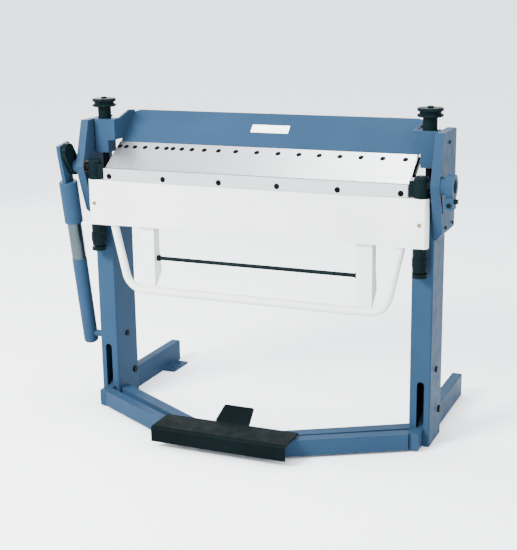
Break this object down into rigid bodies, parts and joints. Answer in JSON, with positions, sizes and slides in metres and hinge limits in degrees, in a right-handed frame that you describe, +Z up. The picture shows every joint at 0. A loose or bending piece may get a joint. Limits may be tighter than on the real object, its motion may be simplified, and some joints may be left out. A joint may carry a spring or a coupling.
{
  "type": "sheet metal brake",
  "caption": "Foot-operated box and pan folding brake: segmented fingers on a clamping beam, swinging apron with a U handle, pedal and spring balance strut.",
  "frame": {"origin": "on the floor, at the middle of the machine's footprint box; the middle of the bending length lies on X = 0", "axes": "+X to the operator's right along the bending length, +Y to the back of the machine, +Z up"},
  "size_m": [1.6615, 1, 1.3035],
  "materials": {
    "blue": "satin",
    "white": "satin",
    "ground": "brushed",
    "black_bolts": "satin",
    "dark": "satin",
    "bare": "satin",
    "brass": "satin",
    "bronze": "satin",
    "plate": "satin"
  },
  "bodies": {
    "frame": {"left_leg": "blue", "right_leg": "blue", "left_rear_foot": "blue", "right_rear_foot": "blue", "left_side_plate": "blue", "right_side_plate": "blue", "hinge_bosses": "blue", "hinge_clamp_ring": "blue", "clamp_ring_screws": "dark", "hinge_bushes": "bronze", "bed_beam": "blue", "bed_edge_bar": "ground", "front_brace_tube": "blue", "floor_anchor_plates": "blue", "pedal_pivot_bolts": "black_bolts", "leg_stop_bolts": "black_bolts", "frame_screws": "black_bolts", "strut_stud": "blue"},
    "clamp_beam": {"fingers_25_35mm": "ground", "fingers_45_50mm": "ground", "fingers_60_90mm": "ground", "fingers_168_180mm": "ground", "finger_clamp_bar": "dark", "finger_bolts": "black_bolts", "beam_rear_plate": "blue", "beam_spine": "blue", "blank_plate": "plate", "left_end_block": "blue", "right_end_block": "blue", "beam_end_brackets": "blue", "tie_rods": "black_bolts", "lift_springs": "bare", "knob_stems": "dark"},
    "left_knob": {"left_adjusting_knob": "dark"},
    "right_knob": {"right_adjusting_knob": "dark"},
    "hinge_carrier": {"hinge_heads": "dark", "hinge_pins": "black_bolts", "apron_shafts": "dark", "balance_crank": "dark"},
    "apron": {"apron_plate": "white", "bending_strip": "ground", "strip_bolts": "black_bolts", "adjuster_sleeves": "dark", "adjuster_ring_nuts": "dark", "apron_lock_screws": "brass", "handle_struts": "white", "truss_rod": "dark", "handle_side_tubes": "white", "handle_grip_tube": "white"},
    "strut_tube": {"strut_lower_tube": "blue", "strut_slide_tube": "bare", "strut_spring": "bare"},
    "strut_head": {"strut_sleeve": "blue", "strut_lug": "blue", "strut_pin": "dark"},
    "pedal": {"pedal_arms": "blue", "pedal_tube": "blue", "tread_plate": "dark", "release_tab_pin": "bare"},
    "release_tab": {"release_tab": "dark"}
  },
  "joints": [
    {"name": "beam_lift", "type": "slide", "parent": "frame", "child": "clamp_beam", "axis": [0, 0, 1], "range_m": [0, 0.0442], "deforming": ["lift_springs"]},
    {"name": "pedal_hinge", "type": "hinge", "parent": "frame", "child": "pedal", "pos_m": [0, 0.026, 0.1093], "axis": [-1, 0, 0], "range_deg": [0, 30.1]},
    {"name": "left_knob_turn", "type": "hinge", "parent": "clamp_beam", "child": "left_knob", "pos_m": [-0.684, -0.055, 1.28], "axis": [0, 0, 1], "range_deg": [-360, 360]},
    {"name": "right_knob_turn", "type": "hinge", "parent": "clamp_beam", "child": "right_knob", "pos_m": [0.684, -0.055, 1.28], "axis": [0, 0, 1], "range_deg": [-360, 360]},
    {"name": "apron_fold", "type": "hinge", "parent": "frame", "child": "hinge_carrier", "pos_m": [0, -0.151, 1.0275], "axis": [-1, 0, 0], "range_deg": [0, 135]},
    {"name": "apron_drop", "type": "slide", "parent": "hinge_carrier", "child": "apron", "axis": [0, 0, -1], "range_m": [0, 0.006]},
    {"name": "strut_swing", "type": "hinge", "parent": "frame", "child": "strut_tube", "pos_m": [-0.8035, -0.06, 0.285], "axis": [-1, 0, 0], "range_deg": [0, 8]},
    {"name": "strut_slide", "type": "slide", "parent": "strut_tube", "child": "strut_head", "axis": [0, 0.1618, -0.9868], "range_m": [0, 0.0885]},
    {"name": "release_tab_press", "type": "hinge", "parent": "pedal", "child": "release_tab", "pos_m": [0, -0.347, 0.07], "axis": [-1, 0, 0], "range_deg": [0, 15], "stiffness_Nm_per_rad": 5, "springref_deg": -17.19}
  ],
  "couplings": [
    {"joint": "pedal_hinge", "follows": "beam_lift", "rad_per_m": 11.846},
    {"joint": "strut_swing", "follows": "apron_fold", "ratio": 0.05858},
    {"joint": "strut_slide", "follows": "apron_fold", "m_per_rad": 0.03744}
  ]
}
